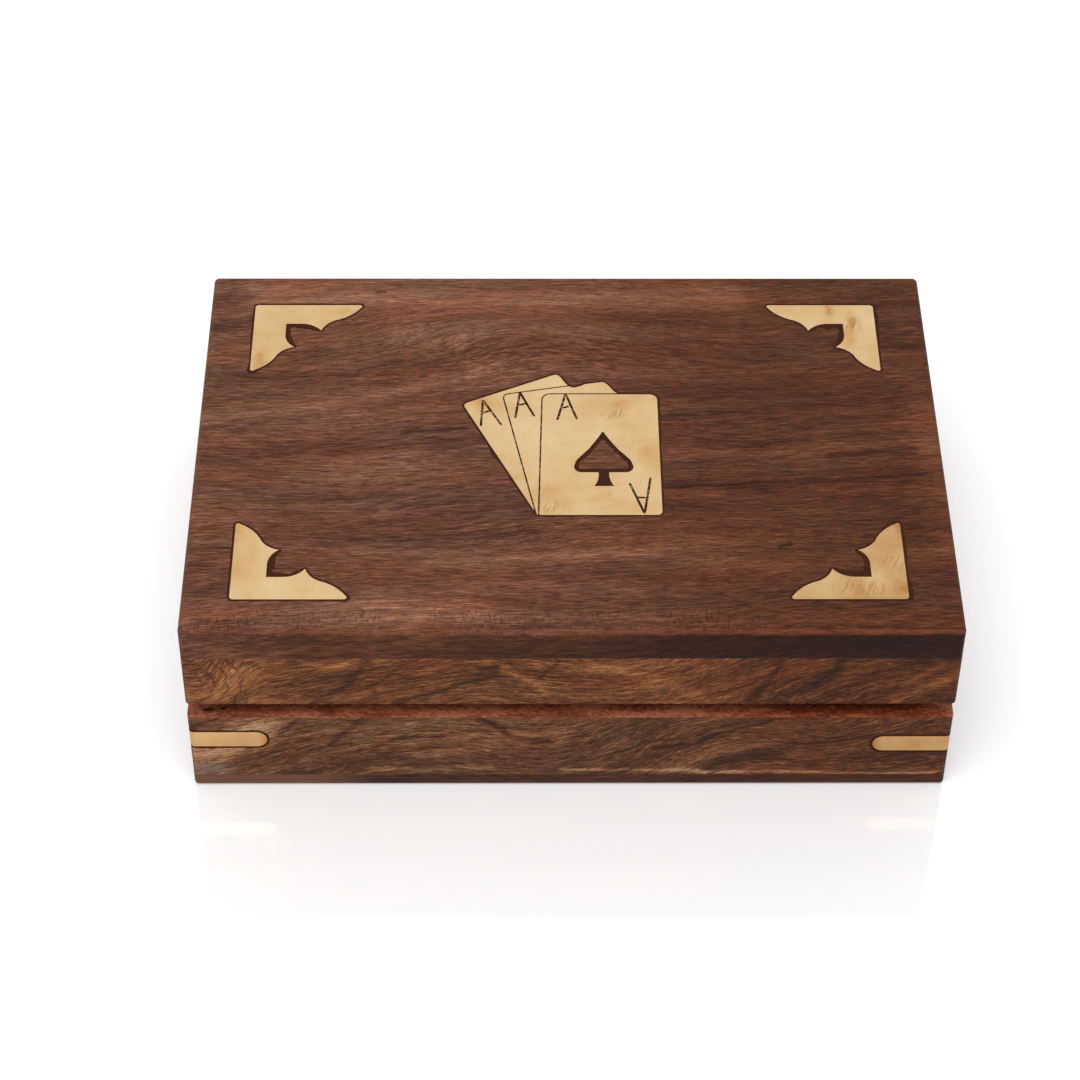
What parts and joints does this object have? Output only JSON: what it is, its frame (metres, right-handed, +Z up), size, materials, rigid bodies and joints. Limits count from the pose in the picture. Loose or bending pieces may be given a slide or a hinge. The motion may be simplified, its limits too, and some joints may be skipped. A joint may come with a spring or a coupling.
{
  "type": "playing card box",
  "caption": "Wooden playing card box: hinged lid with finger groove and brass inlay, card wells under it, and a shallow drawer through one end.",
  "frame": {"origin": "middle of the footprint, on the table under the base panel", "axes": "+X along the box's length, towards the drawer; +Y towards the hinges at the back; +Z up"},
  "size_m": [0.1716, 0.113, 0.05],
  "materials": {
    "top_panel_wood": "dark rosewood, waxed, fine grain along the length",
    "frame_wood": "golden brown rosewood with dark figure, waxed",
    "base_panel_wood": "very dark rosewood, waxed",
    "well_wood": "plain rosewood, lightly oiled",
    "drawer_wood": "pale secondary wood, unfinished",
    "inlay_brass": "pale satin brass, lightly tarnished",
    "filler": "dark wax and sawdust filler",
    "hardware_brass": "plain drawn brass"
  },
  "bodies": {
    "case": {"base_panel": "base_panel_wood", "card_divider": "well_wood", "card_floor": "well_wood", "corner_strap_back_left": "inlay_brass", "corner_strap_back_right": "inlay_brass", "corner_strap_front_left": "inlay_brass", "corner_strap_front_right": "inlay_brass", "drawer_guide_back": "drawer_wood", "drawer_guide_front": "drawer_wood", "drawer_stop": "drawer_wood", "hinge_left_body_leaf": "hardware_brass", "hinge_left_pin": "hardware_brass", "hinge_right_body_leaf": "hardware_brass", "hinge_right_pin": "hardware_brass", "hinge_screws_body": "hardware_brass", "wall_back": "frame_wood", "wall_front": "frame_wood", "wall_left": "frame_wood", "wall_right": "frame_wood", "well_liner_back": "well_wood", "well_liner_front": "well_wood", "well_liner_left": "well_wood", "well_liner_right": "well_wood"},
    "lid": {"bracket_back_left": "inlay_brass", "bracket_back_right": "inlay_brass", "bracket_front_left": "inlay_brass", "bracket_front_right": "inlay_brass", "card_fan_inlay": "inlay_brass", "hinge_left_lid_leaf": "hardware_brass", "hinge_right_lid_leaf": "hardware_brass", "hinge_screws_lid": "hardware_brass", "lid_rail_back": "frame_wood", "lid_rail_front": "frame_wood", "lid_rail_left": "frame_wood", "lid_rail_right": "frame_wood", "top_panel": "top_panel_wood"},
    "drawer": {"drawer_back": "drawer_wood", "drawer_bottom": "drawer_wood", "drawer_front": "frame_wood", "drawer_knob": "hardware_brass", "drawer_knob_screw": "hardware_brass", "drawer_side_back": "drawer_wood", "drawer_side_front": "drawer_wood"}
  },
  "joints": [
    {"name": "lid_hinge", "type": "hinge", "parent": "case", "child": "lid", "pos_m": [0, 0.0549, 0.0244], "axis": [-1, 0, 0], "range_deg": [0, 105]},
    {"name": "drawer_slide", "type": "slide", "parent": "case", "child": "drawer", "axis": [1, 0, 0], "range_m": [0, 0.11]}
  ]
}
